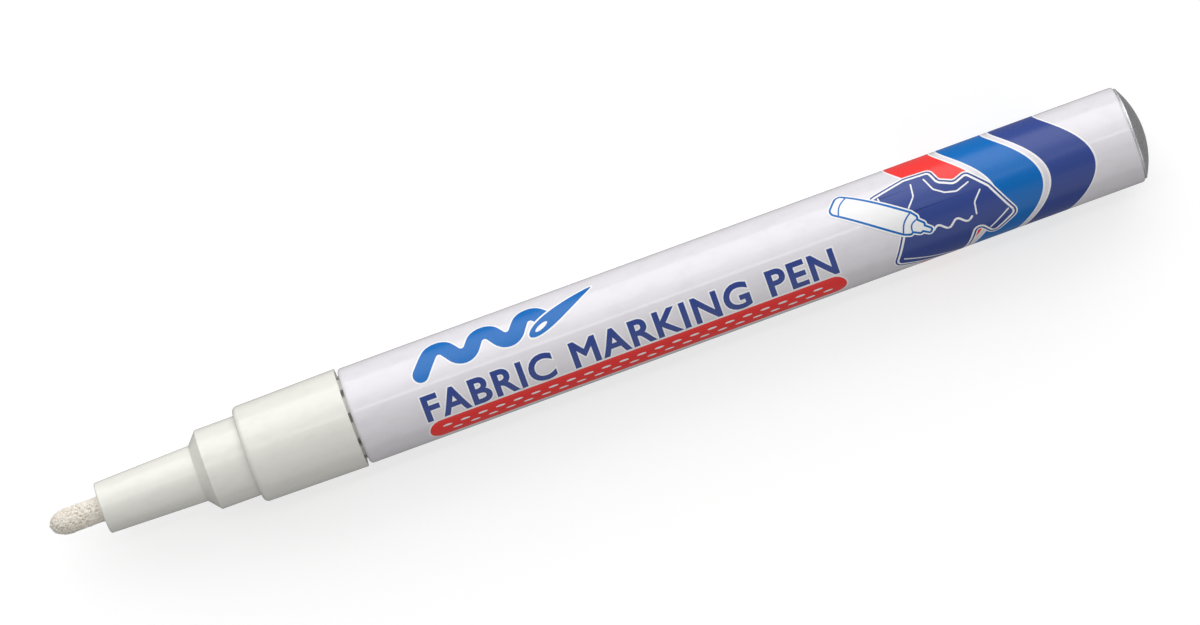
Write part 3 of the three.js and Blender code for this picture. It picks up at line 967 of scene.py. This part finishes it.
class PEN_OT_nib_holder(bpy.types.Operator):
    """Make the stepped nose that guides the nib"""

    bl_idname = "pen.nib_holder"
    bl_label = "Nib Holder"

    def execute(self, context):
        sizes = context.scene.pen_nose
        edge = sizes.edge_rounding
        guide = NIB_RADIUS + sizes.nib_clearance
        cone_end = NOSE_FACE + sizes.cone_length
        step_start = cone_end + sizes.chamfer_length
        step_end = COLLAR_FRONT + 0.8 * MM
        wick_front = NOSE_FACE + 5.0 * MM
        wick_rear = NOSE_FACE + 14.5 * MM
        seat_front = NOSE_FACE + 18.1 * MM
        wick_bore = 2.35 * MM
        stem_bore = 2.5 * MM
        seat_bore = sizes.spigot_radius - 1.0 * MM
        outline = rounded(
            [
                (NOSE_FACE, guide, 0.1 * MM),
                (NOSE_FACE, sizes.cone_front_radius, 0.22 * MM),
                (cone_end, sizes.cone_rear_radius, 0.12 * MM),
                (step_start, sizes.step_radius, 0.08 * MM),
                (step_end, sizes.step_radius, edge),
                (step_end, sizes.spigot_radius, edge),
                (SPIGOT_END, sizes.spigot_radius, edge),
                (SPIGOT_END, seat_bore, edge),
                (seat_front, seat_bore, BROKEN_EDGE),
                (seat_front, stem_bore, BROKEN_EDGE),
                (wick_rear, stem_bore, BROKEN_EDGE),
                (wick_rear, wick_bore, BROKEN_EDGE),
                (wick_front, wick_bore, 0.1 * MM),
                (wick_front, guide, 0.1 * MM),
            ]
        )
        plastic = shared("moulded_satin_polypropylene", moulded_polypropylene)
        mesh = turned("nib_holder_mesh", outline)
        place_piece("nose_moulding", mesh, [plastic], "pen_body", ["nib_holder"], "nose_plastic")
        return {"FINISHED"}


def weathered(point, sizes):
    """Pushes a point of the nib's surface in, as bonded fibres do. Nothing stands proud of the nib."""
    smooth_end = NOSE_FACE - 0.1 * MM
    fade_length = 0.4 * MM
    showing = min(1.0, max(0.0, (smooth_end - point.x) / fade_length))
    if showing == 0:
        return point
    side = Vector((0, point.y, point.z - AXIS_HEIGHT)).normalized()
    tip = 0.7 * min(1.0, max(0.0, (NIB_TIP + sizes.bullet_length - point.x) / sizes.bullet_length))
    out = (side * (1 - tip) + Vector((-tip, 0, 0))).normalized()

    def clouds(along, around, shift=0):
        """Noise with this many cycles per mm along the nib and round it. A shift makes it another one."""
        at = point / MM
        return noise.noise(Vector((at.x * along + shift, at.y * around, at.z * around)))

    bundles = clouds(1.3, 5.5)
    lumps = 0.6 * clouds(2.2, 2.6, 9)
    pits = max(0.0, clouds(3.4, 4.6, 31) - 0.12)
    depth = sizes.furrow_depth
    move = (bundles + lumps) * depth - pits * sizes.pit_depth
    return point + out * (min(move, depth) - depth) * showing


class PEN_OT_nib(bpy.types.Operator):
    """Make the bullet nib of bonded fibre and the loose fibre ends on it"""

    bl_idname = "pen.nib"
    bl_label = "Nib"

    def execute(self, context):
        sizes = context.scene.pen_nib
        felt = shared("bonded_polyester_felt", bonded_felt)
        outline = []
        bullet_rows, side_rows = 60, 110
        for k in range(bullet_rows + 1):
            climb = math.pi / 2 * k / bullet_rows
            x = NIB_TIP + sizes.bullet_length * (1 - math.cos(climb))
            outline.append(Vector((x, NIB_RADIUS * math.sin(climb))))
        side_start = NIB_TIP + sizes.bullet_length
        for k in range(1, side_rows + 1):
            outline.append(Vector((side_start + (NOSE_FACE - side_start) * k / side_rows, NIB_RADIUS)))
        bevel = 0.2 * MM
        outline += [Vector((NIB_END - bevel, NIB_RADIUS)), Vector((NIB_END, NIB_RADIUS - bevel))]
        outline.append(Vector((NIB_END, 0)))
        mesh = turned("nib_felt", outline, 128)
        for vertex in mesh.vertices:
            vertex.co = weathered(vertex.co, sizes)
        place_piece("nib_felt", mesh, [felt], "nib_body", ["nib"], "nib_fibre", sharp=75)
        skin = bmesh.new()
        skin.from_mesh(mesh)
        bare_start = NOSE_FACE - sizes.fibre_gap
        hidden = [face for face in skin.faces if face.calc_center_median().x > bare_start]
        bmesh.ops.delete(skin, geom=hidden, context="FACES")
        area = sum(face.calc_area() for face in skin.faces)
        shown = bpy.data.meshes.new("nib_skin")
        skin.to_mesh(shown)
        skin.free()
        inputs = {
            "Density": sizes.fibres / area,
            "Seed": sizes.seed,
            "Fibre length": sizes.fibre_length,
            "Fibre radius": sizes.fibre_thickness / 2,
            "Finish": felt,
        }
        hairs = run_tree(fibres_tree, inputs, shown)
        place_piece("nib_fibres", hairs, [felt], "nib_body", slot="nib_fibre", sharp=80)
        return {"FINISHED"}


class PEN_OT_bands(bpy.types.Operator):
    """Print the three wavy bands right round the barrel"""

    bl_idname = "pen.bands"
    bl_label = "Wavy Bands"

    def execute(self, context):
        sizes = context.scene.pen_print
        edge = sizes.band_edge
        for i, name in enumerate(("navy", "blue", "red")):
            rear = BASE_APEX - sizes.last_band_end - i * (sizes.band_width + sizes.band_gap)
            front = rear - sizes.band_width
            self.band("band_%s_outline" % name, front - edge, rear + edge, "white", 1)
            self.band("band_" + name, front, rear, name, 2)
        return {"FINISHED"}

    def band(self, name, front, rear, ink, layer):
        """One band, as a ring with its underside buried in the lacquer."""
        sizes = bpy.context.scene.pen_print
        top, under = BARREL_RADIUS + layer * LAYER, BARREL_RADIUS - BURIED
        section = [Vector(p) for p in ((front, under), (front, top), (rear, top), (rear, under))]

        def spot(point, turn):
            swing = math.cos(2 * (turn - sizes.band_phase)) - 1
            return round_axis(point.x + sizes.band_swing * swing, point.y, turn)

        mesh = swept(name, section, True, 240, spot)
        place_piece(name, mesh, [inks()[ink]], "pen_body", slot="lacquered_aluminium")


class PEN_OT_words(bpy.types.Operator):
    """Print the plain words along the barrel, in navy with a thin white outline"""

    bl_idname = "pen.words"
    bl_label = "Words"

    def execute(self, context):
        sizes = context.scene.pen_print
        colours = inks()
        loops = self.letters(sizes.words)
        xs = [point.x for loop in loops for point in loop]
        ys = [point.y for loop in loops for point in loop]
        weight = sizes.letter_weight
        scale_x = (sizes.words_length - 2 * weight) / (max(xs) - min(xs))
        scale_y = (sizes.letter_height - 2 * weight) / (max(ys) - min(ys))
        start = Vector((BARREL_MOUTH + sizes.words_start + weight, sizes.words_round + weight))
        left, foot = min(xs), min(ys)

        def place(point):
            return start + Vector(((point.x - left) * scale_x, (point.y - foot) * scale_y))

        placed = [[place(point) for point in loop] for loop in loops]
        plates = (("halo", colours["white"], weight + sizes.halo), ("fill", colours["navy"], weight))
        print_outlined("words", placed, plates, 1)
        return {"FINISHED"}

    def letters(self, words):
        """The outlines of the letters. Outer loops run anticlockwise, and holes clockwise."""
        # A side shorter than this, in letter heights, would cross over itself when the letter is made bolder.
        tiny = 0.018
        data = bpy.data.curves.new("words", "FONT")
        data.body = words
        data.space_character = 1.1
        data.space_word = 1.1
        data.resolution_u = 5
        flat = bmesh.new()
        flat.from_mesh(plain_mesh(data))
        bmesh.ops.remove_doubles(flat, verts=flat.verts, dist=1e-5)
        onward = {}
        for face in flat.faces:
            for corner in face.loops:
                if corner.edge.is_boundary:
                    onward[corner.vert] = corner.link_loop_next.vert
        loops = []
        while onward:
            vert, following = onward.popitem()
            loop = [vert.co.xy]
            while following in onward:
                if (following.co.xy - loop[-1]).length > tiny:
                    loop.append(following.co.xy)
                following = onward.pop(following)
            if (loop[0] - loop[-1]).length < tiny:
                loop.pop()
            loops.append(loop)
        return loops


class PEN_OT_strip(bpy.types.Operator):
    """Print the round-ended red strip and its two rows of white running stitches"""

    bl_idname = "pen.strip"
    bl_label = "Stitched Strip"

    def execute(self, context):
        sizes = context.scene.pen_print
        colours = inks()
        # The strip starts a little before the words and ends a little after them.
        before, after = 0.2 * MM, 0.4 * MM
        half = sizes.strip_width / 2
        first = BARREL_MOUTH + sizes.words_start - before + half
        straight = sizes.words_length + before + after - 2 * half
        steps = 40
        path = [Vector((first + straight * k / steps, sizes.strip_round)) for k in range(steps + 1)]
        pill = stroke(path, sizes.strip_width, 20)
        plates = (("outline", colours["white"], sizes.outline), ("fill", colours["red"], 0.0))
        print_outlined("strip", [anticlockwise(pill)], plates, 1)
        inset = 0.6 * MM
        # The lower row is set off by half a stitch.
        for row, (offset, shift) in enumerate(((sizes.row_offset, 0.0), (-sizes.row_offset, 0.5))):
            inputs = {
                "Count": sizes.stitches,
                "Pitch": sizes.stitch_pitch,
                "Start": first + inset + shift * sizes.stitch_pitch,
                "Place round": sizes.strip_round + offset,
                "Stitch length": sizes.stitch_length,
                "Stitch width": sizes.stitch_width,
                "Height": 5 * LAYER,
                "Radius": BARREL_RADIUS,
                "Axis height": AXIS_HEIGHT,
                "Finish": colours["white"],
            }
            mesh = run_tree(stitches_tree, inputs)
            name = "strip_stitches_%d" % (row + 1)
            place_piece(name, mesh, [colours["white"]], "pen_body", slot="lacquered_aluminium", sharp=60)
        return {"FINISHED"}


class PEN_OT_thread(bpy.types.Operator):
    """Print the bold zigzag thread and the needle that pulls it"""

    bl_idname = "pen.thread"
    bl_label = "Thread And Needle"

    def execute(self, context):
        colours = inks()
        sizes = context.scene.pen_print
        start = BARREL_MOUTH + sizes.words_start + 1.0 * MM
        low, high = 1.2 * MM, 5.2 * MM
        turns, pitch, turn_radius = 5, 2.6 * MM, 1.25 * MM
        eye = Vector((start + (turns + 0.75) * pitch, 3.0 * MM))
        corners = [(start, low + 0.6 * MM, 0)]
        for k in range(1, turns + 1):
            corners.append((start + k * pitch, high if k % 2 else low, turn_radius))
        corners.append((eye.x, eye.y, 0))
        path = rounded(corners, steps=10, closed=False)
        outline_width, thread_width = 2.15 * MM, 1.8 * MM
        print_loops("thread_outline", [stroke(path, outline_width)], colours["white"], 1)
        print_loops("thread_fill", [stroke(path, thread_width)], colours["blue"], 2)
        self.needle(eye + Vector((1.7, 0.4)) * MM, colours, sizes.outline)
        return {"FINISHED"}

    def needle(self, centre, colours, edge):
        """A needle that is blunt at its eye and tapers to its point."""
        place = drawing_board(centre, math.radians(24))
        half_length, half_width, taper = 4.4, 0.78, 0.45
        outer = []
        steps = 48
        for k in range(steps):
            c, s = math.cos(math.tau * k / steps), math.sin(math.tau * k / steps)
            outer.append(place(half_length * c, half_width * s * (1 - taper * c)))
        hole = []
        hole_place, hole_length, hole_width = -0.62 * half_length, 0.85, 0.27
        steps = 20
        for k in range(steps):
            c, s = math.cos(math.tau * k / steps), math.sin(math.tau * k / steps)
            hole.append(place(hole_place + hole_length * c, hole_width * s))
        outer = anticlockwise(outer)
        print_loops("needle_outline", [grown(outer, edge)], colours["white"], 3)
        print_loops("needle_fill", [outer, hole], colours["blue"], 4)


class PEN_OT_shirt(bpy.types.Operator):
    """Print the plain T-shirt picture over the bands"""

    bl_idname = "pen.shirt"
    bl_label = "Shirt Picture"

    def execute(self, context):
        colours = inks()
        width = context.scene.pen_print.line_width
        hem = Vector((BASE_APEX - 26.9 * MM, -7.2 * MM))
        place = drawing_board(hem, math.radians(-25))
        # One side, from the hem up to the neck, as (across, up, rounding) in mm.
        half = [
            (3.9, 0.0, 0.6),
            (3.7, 6.3, 0.9),
            (6.3, 4.6, 0.4),
            (7.9, 7.4, 0.5),
            (4.6, 10.0, 1.5),
            (2.1, 11.0, 0.35),
            (1.0, 9.9, 1.1),
        ]
        corners = half + [(-x, y, r) for x, y, r in half[::-1]]
        body = anticlockwise([place(p.x, p.y) for p in rounded(corners, steps=8)])
        plates = (
            ("halo", colours["white"], 0.6 * MM),
            ("line", colours["navy"], 0.44 * MM),
            ("ring", colours["white"], 0.24 * MM),
            ("fill", colours["navy"], 0.0),
        )
        print_outlined("shirt", [body], plates, 3)
        seams = {
            "hem": [(-3.3, 0.75), (0, 0.65), (3.3, 0.75)],
            "left_cuff": [(-5.75, 5.15), (-7.2, 7.7)],
            "right_cuff": [(5.75, 5.15), (7.2, 7.7)],
            "left_sleeve": [(-3.75, 6.9), (-3.35, 8.2), (-3.8, 9.6)],
            "right_sleeve": [(3.75, 6.9), (3.35, 8.2), (3.8, 9.6)],
            "neck": [(-2.45, 10.3), (-1.3, 9.2), (0, 8.95), (1.3, 9.2), (2.45, 10.3)],
        }
        for label, path in seams.items():
            line = [place(p.x, p.y) for p in rounded([(x, y, 0.6) for x, y in path], closed=False)]
            print_loops("shirt_" + label, [stroke(line, width)], colours["white"], 7)
        return {"FINISHED"}


class PEN_OT_pen_picture(bpy.types.Operator):
    """Print the little pen that draws on the shirt"""

    bl_idname = "pen.pen_picture"
    bl_label = "Pen Picture"

    def execute(self, context):
        colours = inks()
        width = context.scene.pen_print.line_width
        tip = Vector((BASE_APEX - 25.9 * MM, -2.5 * MM))
        place = drawing_board(tip, math.radians(144))
        # One side, from the tip to the end, as (along, out, rounding) in mm.
        half = [
            (0.0, 0.16, 0.1),
            (0.9, 0.22, 0),
            (1.0, 0.5, 0.1),
            (1.9, 0.62, 0),
            (2.0, 0.95, 0.1),
            (2.7, 1.15, 0.3),
            (11.2, 1.15, 0.5),
        ]
        corners = half + [(x, -y, r) for x, y, r in half[::-1]]
        body = anticlockwise([place(p.x, p.y) for p in rounded(corners, steps=6)])
        plates = (
            ("halo", colours["white"], 0.4 * MM),
            ("line", colours["blue"], 0.24 * MM),
            ("fill", colours["white"], 0.0),
        )
        print_outlined("little_pen", [body], plates, 8)
        # Bowed lines across the little pen, as (label, place along it, half its width there) in mm.
        bow = 0.25
        for label, x, reach in (("nose_ring", 1.95, 0.62), ("body_ring", 2.8, 1.1), ("end_ring", 10.2, 1.12)):
            parts = [k / 4 for k in range(-4, 5)]
            line = [place(x + bow * math.cos(part * math.pi / 2), reach * part) for part in parts]
            print_loops("little_pen_" + label, [stroke(line, width)], colours["blue"], 11)
        start_along, start_across = 0.35, -0.15
        wave_length, wave_height, waves = 4.4, 0.36, 2
        drawn_width = 0.24 * MM
        steps = 60
        wave = []
        for k in range(steps + 1):
            part = k / steps
            across = start_across + wave_height * math.sin(part * waves * math.tau)
            wave.append(tip + Vector((start_along + wave_length * part, across)) * MM)
        print_loops("drawn_line", [stroke(wave, drawn_width)], colours["white"], 7)
        return {"FINISHED"}


class PEN_OT_valve_spring(bpy.types.Operator):
    """Make the coiled spring that closes the valve, which shortens as the nib is pressed"""

    bl_idname = "pen.valve_spring"
    bl_label = "Valve Spring"

    def execute(self, context):
        sizes = context.scene.pen_valve
        low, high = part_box("valve_spring")
        radius = (high.z - low.z) / 2 - sizes.wire_radius
        front, rear = low.x + sizes.wire_radius, high.x - sizes.wire_radius
        points_per_turn = 32
        open_pitch = (rear - front - 2 * sizes.closed_pitch) / (sizes.turns - 2)
        path = bmesh.new()
        before = None
        for k in range(sizes.turns * points_per_turn + 1):
            turn = k / points_per_turn
            closed = min(turn, 1) + max(turn - sizes.turns + 1, 0)
            x = front + sizes.closed_pitch * closed + open_pitch * (turn - closed)
            point = path.verts.new(round_axis(x, radius, math.tau * turn))
            if before:
                path.edges.new((before, point))
            before = point
        coil = bpy.data.meshes.new("spring_path")
        path.to_mesh(coil)
        path.free()
        finish = inner_finish("stainless_spring_wire")
        inputs = {"Wire radius": sizes.wire_radius, "Finish": finish}
        mesh = run_tree(wire_tree, inputs, coil)
        nodes, slot = ["valve_spring"], "spring_steel"
        spring = place_piece("closing_spring", mesh, [finish], "pen_body", nodes, slot, sharp=60)
        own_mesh(spring)
        return {"FINISHED"}


class PEN_OT_inner_parts(bpy.types.Operator):
    """Give the parts inside the pen their finishes"""

    bl_idname = "pen.inner_parts"
    bl_label = "Inner Parts"

    def execute(self, context):
        parts = {
            "polyester_tow": ["buffer_wick"],
            "natural_polypropylene": ["valve_seat", "valve_cage"],
            "moulded_acetal": ["valve_plunger"],
            "nitrile_rubber": ["plunger_seal"],
            "polished_stainless_ball": ["mixing_ball_1", "mixing_ball_2"],
        }
        for name, nodes in parts.items():
            finish = inner_finish(name)
            for node_name in nodes:
                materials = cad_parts[node_name].data.materials
                materials.clear()
                materials.append(finish)
        return {"FINISHED"}


class PEN_OT_stage(bpy.types.Operator):
    """Make the pale floor, the soft panels and the camera above the pen"""

    bl_idname = "pen.stage"
    bl_label = "Stage"

    def execute(self, context):
        studio = context.scene.pen_studio
        self.floor()
        for name, edges, levels in (
            ("softbox", SOFTBOX_EDGES, studio.softbox),
            ("fill", FILL_EDGES, studio.fill),
        ):
            for strip, brightness in enumerate(levels):
                self.panel("%s_%d" % (name, strip), edges[strip], edges[strip + 1], brightness)
        world = bpy.data.worlds.new("studio_room")
        world.use_nodes = True
        background = world.node_tree.nodes["Background"]
        background.inputs["Color"].default_value = (1, 1, 1, 1)
        background.inputs["Strength"].default_value = studio.surround
        context.scene.world = world
        context.scene.view_settings.view_transform = "Standard"
        self.camera(context)
        return {"FINISHED"}

    def floor(self):
        """A round flat floor that curves up into the backdrop's wall."""
        studio = bpy.context.scene.pen_studio
        bend = studio.backdrop_bend
        near_ring = 500 * MM
        profile = [Vector((0, 0)), Vector((near_ring, 0)), Vector((studio.floor_radius, 0))]
        steps = 16
        for k in range(1, steps + 1):
            climb = math.pi / 2 * k / steps
            rise = bend * (1 - math.cos(climb))
            profile.append(Vector((studio.floor_radius + bend * math.sin(climb), rise)))
        profile.append(Vector((studio.floor_radius + bend, studio.backdrop_height)))
        # The sheet lies a hair below the pen, so that the two never share a plane.
        drop = 0.01 * MM

        def spot(point, turn):
            return (point.x * math.cos(turn), point.x * math.sin(turn), point.y - drop)

        mesh = swept("floor", profile, False, 96, spot)
        mesh.shade_smooth()
        mesh.materials.append(floor_sheet())
        floor = bpy.data.objects.new("floor", mesh)
        bpy.context.scene.collection.objects.link(floor)
        # The sheet is lit so brightly that its bounce would wash out the pen's lower side.
        floor.visible_diffuse = False
        floor.visible_glossy = False
        floor.visible_shadow = False

    def panel(self, name, low_angle, high_angle, brightness):
        """One strip of light between two angles, seen from the pen. It doesn't show to the camera."""
        studio = bpy.context.scene.pen_studio
        middle = math.radians((low_angle + high_angle) / 2)
        spread = abs(math.radians((high_angle - low_angle) / 2))
        light = bpy.data.lights.new(name, "AREA")
        light.shape = "RECTANGLE"
        light.size = studio.panel_length
        light.size_y = 2 * studio.panel_distance * math.tan(spread)
        light.energy = brightness * math.pi * light.size * light.size_y
        lamp = bpy.data.objects.new(name, light)
        away = Vector((0, math.sin(middle), math.cos(middle)))
        lamp.location = away * studio.panel_distance + Vector((studio.panel_shift, 0, AXIS_HEIGHT))
        lamp.rotation_euler = (-middle, 0, 0)
        lamp.visible_camera = False
        bpy.context.scene.collection.objects.link(lamp)

    def camera(self, context):
        """A long lens straight above the pen, so that it hardly converges."""
        studio = context.scene.pen_studio
        data = bpy.data.cameras.new("camera")
        data.lens = studio.lens
        data.sensor_width = 36
        data.clip_start = 10 * MM
        data.clip_end = 100000 * MM
        camera = bpy.data.objects.new("camera", data)
        camera.location = (studio.camera_along, studio.camera_across, AXIS_HEIGHT + studio.camera_height)
        camera.rotation_euler = (0, 0, -studio.camera_turn)
        bpy.context.scene.collection.objects.link(camera)
        context.scene.camera = camera


class PEN_PT_panel(bpy.types.Panel):
    """Lists the pen's pieces in the 3D view's sidebar"""

    bl_label = "Marking Pen"
    bl_idname = "PEN_PT_panel"
    bl_space_type = "VIEW_3D"
    bl_region_type = "UI"
    bl_category = "Marking Pen"

    def draw(self, context):
        column = self.layout.column()
        for operator in OPERATORS:
            column.operator(operator.bl_idname)


OPERATORS = (
    PEN_OT_stage,
    PEN_OT_barrel,
    PEN_OT_collar,
    PEN_OT_nib_holder,
    PEN_OT_nib,
    PEN_OT_bands,
    PEN_OT_words,
    PEN_OT_strip,
    PEN_OT_thread,
    PEN_OT_shirt,
    PEN_OT_pen_picture,
    PEN_OT_valve_spring,
    PEN_OT_inner_parts,
)
CLASSES = tuple(SETTINGS.values()) + OPERATORS + (PEN_PT_panel,)


def register():
    for cls in CLASSES:
        bpy.utils.register_class(cls)
    for name, group in SETTINGS.items():
        setattr(bpy.types.Scene, name, bpy.props.PointerProperty(type=group))


def unregister():
    for name in SETTINGS:
        delattr(bpy.types.Scene, name)
    for cls in reversed(CLASSES):
        bpy.utils.unregister_class(cls)


def main():
    register()
    for operator in OPERATORS:
        group, name = operator.bl_idname.split(".")
        getattr(getattr(bpy.ops, group), name)()


if __name__ == "__main__":
    main()
